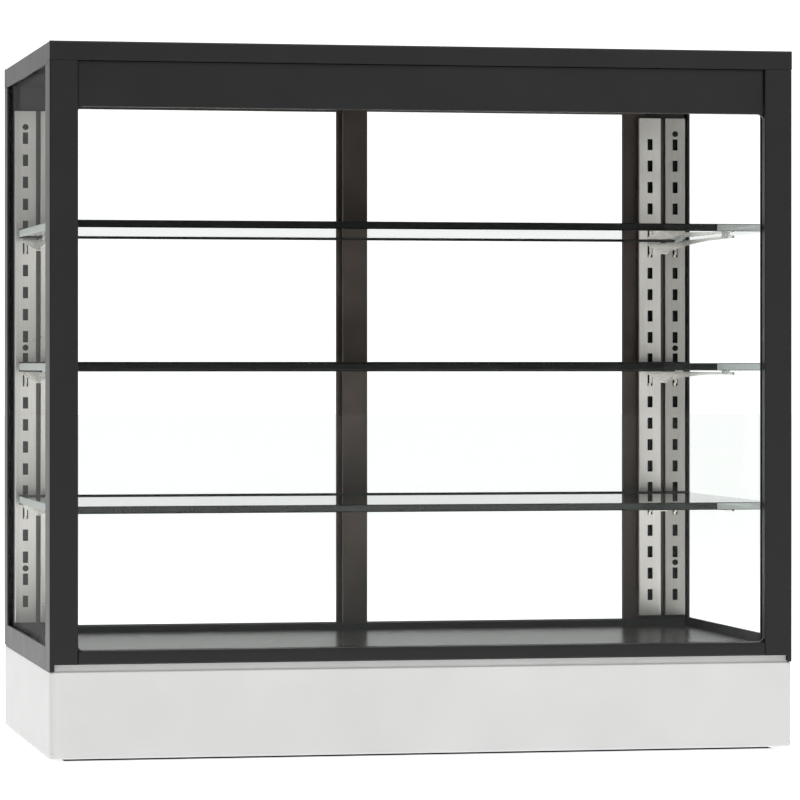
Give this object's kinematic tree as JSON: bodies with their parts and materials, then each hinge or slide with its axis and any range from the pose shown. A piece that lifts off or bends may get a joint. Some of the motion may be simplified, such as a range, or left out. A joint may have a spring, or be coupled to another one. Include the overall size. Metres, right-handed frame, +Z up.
{
  "type": "bakery display case",
  "caption": "Counter-top glazed display case on a white steel base, with glass shelves on slotted uprights, a lit header and sliding rear doors.",
  "frame": {"origin": "centre of the case's footprint on the counter, at the underside of the rubber feet", "axes": "+X to the customer's right, +Y from the customer's side to the server's doors, +Z up"},
  "size_m": [0.8, 0.45, 0.75],
  "materials": {
    "white_paint": "satin powder coat",
    "black_paint": "satin powder coat",
    "galvanised_sheet": "galvanised",
    "rubber": "matt",
    "polished_steel": "polished",
    "stainless_steel": "brushed",
    "aluminium": "mill finish",
    "dark_aluminium": "dark anodised",
    "dark_trim": "matt extrusion",
    "black_plastic": "moulded",
    "rocker_plastic": "polished moulding",
    "light_diffuser": "opal",
    "clear_glass": "clear float",
    "shelf_glass": "clear, ground edges"
  },
  "bodies": {
    "cabinet": {"base_bottom_plate": "galvanised_sheet", "base_housing": "white_paint", "bracket_left_1": "stainless_steel", "bracket_left_2": "stainless_steel", "bracket_left_3": "stainless_steel", "bracket_right_1": "stainless_steel", "bracket_right_2": "stainless_steel", "bracket_right_3": "stainless_steel", "canopy_light_diffuser": "light_diffuser", "canopy_light_profile": "aluminium", "deck_panel": "polished_steel", "foot_front_left": "rubber", "foot_front_right": "rubber", "foot_rear_left": "rubber", "foot_rear_right": "rubber", "front_bottom_rail": "black_paint", "front_glass": "clear_glass", "front_top_rail": "black_paint", "led_driver": "aluminium", "left_bottom_rail": "black_paint", "left_glass": "clear_glass", "left_top_rail": "black_paint", "left_upright": "stainless_steel", "light_header": "black_paint", "post_front_left": "black_paint", "post_front_right": "black_paint", "post_rear_left": "black_paint", "post_rear_right": "black_paint", "power_inlet": "black_plastic", "rear_door_sill": "black_paint", "rear_top_rail": "black_paint", "right_bottom_rail": "black_paint", "right_glass": "clear_glass", "right_top_rail": "black_paint", "right_upright": "stainless_steel", "roof_panel": "black_paint", "service_panel": "galvanised_sheet", "shelf_glass_1": "shelf_glass", "shelf_glass_2": "shelf_glass", "shelf_glass_3": "shelf_glass", "shelf_rear_trim_1": "dark_trim", "shelf_rear_trim_2": "dark_trim", "shelf_rear_trim_3": "dark_trim", "switch_body": "black_plastic"},
    "left_door": {"left_door_bottom_rail": "dark_aluminium", "left_door_glass": "clear_glass", "left_door_meeting_stile": "dark_aluminium", "left_door_outer_stile": "dark_aluminium", "left_door_pull": "dark_aluminium", "left_door_top_rail": "dark_aluminium"},
    "right_door": {"right_door_bottom_rail": "dark_aluminium", "right_door_glass": "clear_glass", "right_door_meeting_stile": "dark_aluminium", "right_door_outer_stile": "dark_aluminium", "right_door_pull": "dark_aluminium", "right_door_top_rail": "dark_aluminium"},
    "light_switch_rocker": {"switch_rocker": "rocker_plastic"}
  },
  "joints": [
    {"name": "left_door_slide", "type": "slide", "parent": "cabinet", "child": "left_door", "axis": [1, 0, 0], "range_m": [0, 0.335]},
    {"name": "right_door_slide", "type": "slide", "parent": "cabinet", "child": "right_door", "axis": [-1, 0, 0], "range_m": [0, 0.335]},
    {"name": "light_switch", "type": "hinge", "parent": "cabinet", "child": "light_switch_rocker", "pos_m": [0.28, 0.21675, 0.0485], "axis": [-1, 0, 0], "range_deg": [0, 16]}
  ]
}
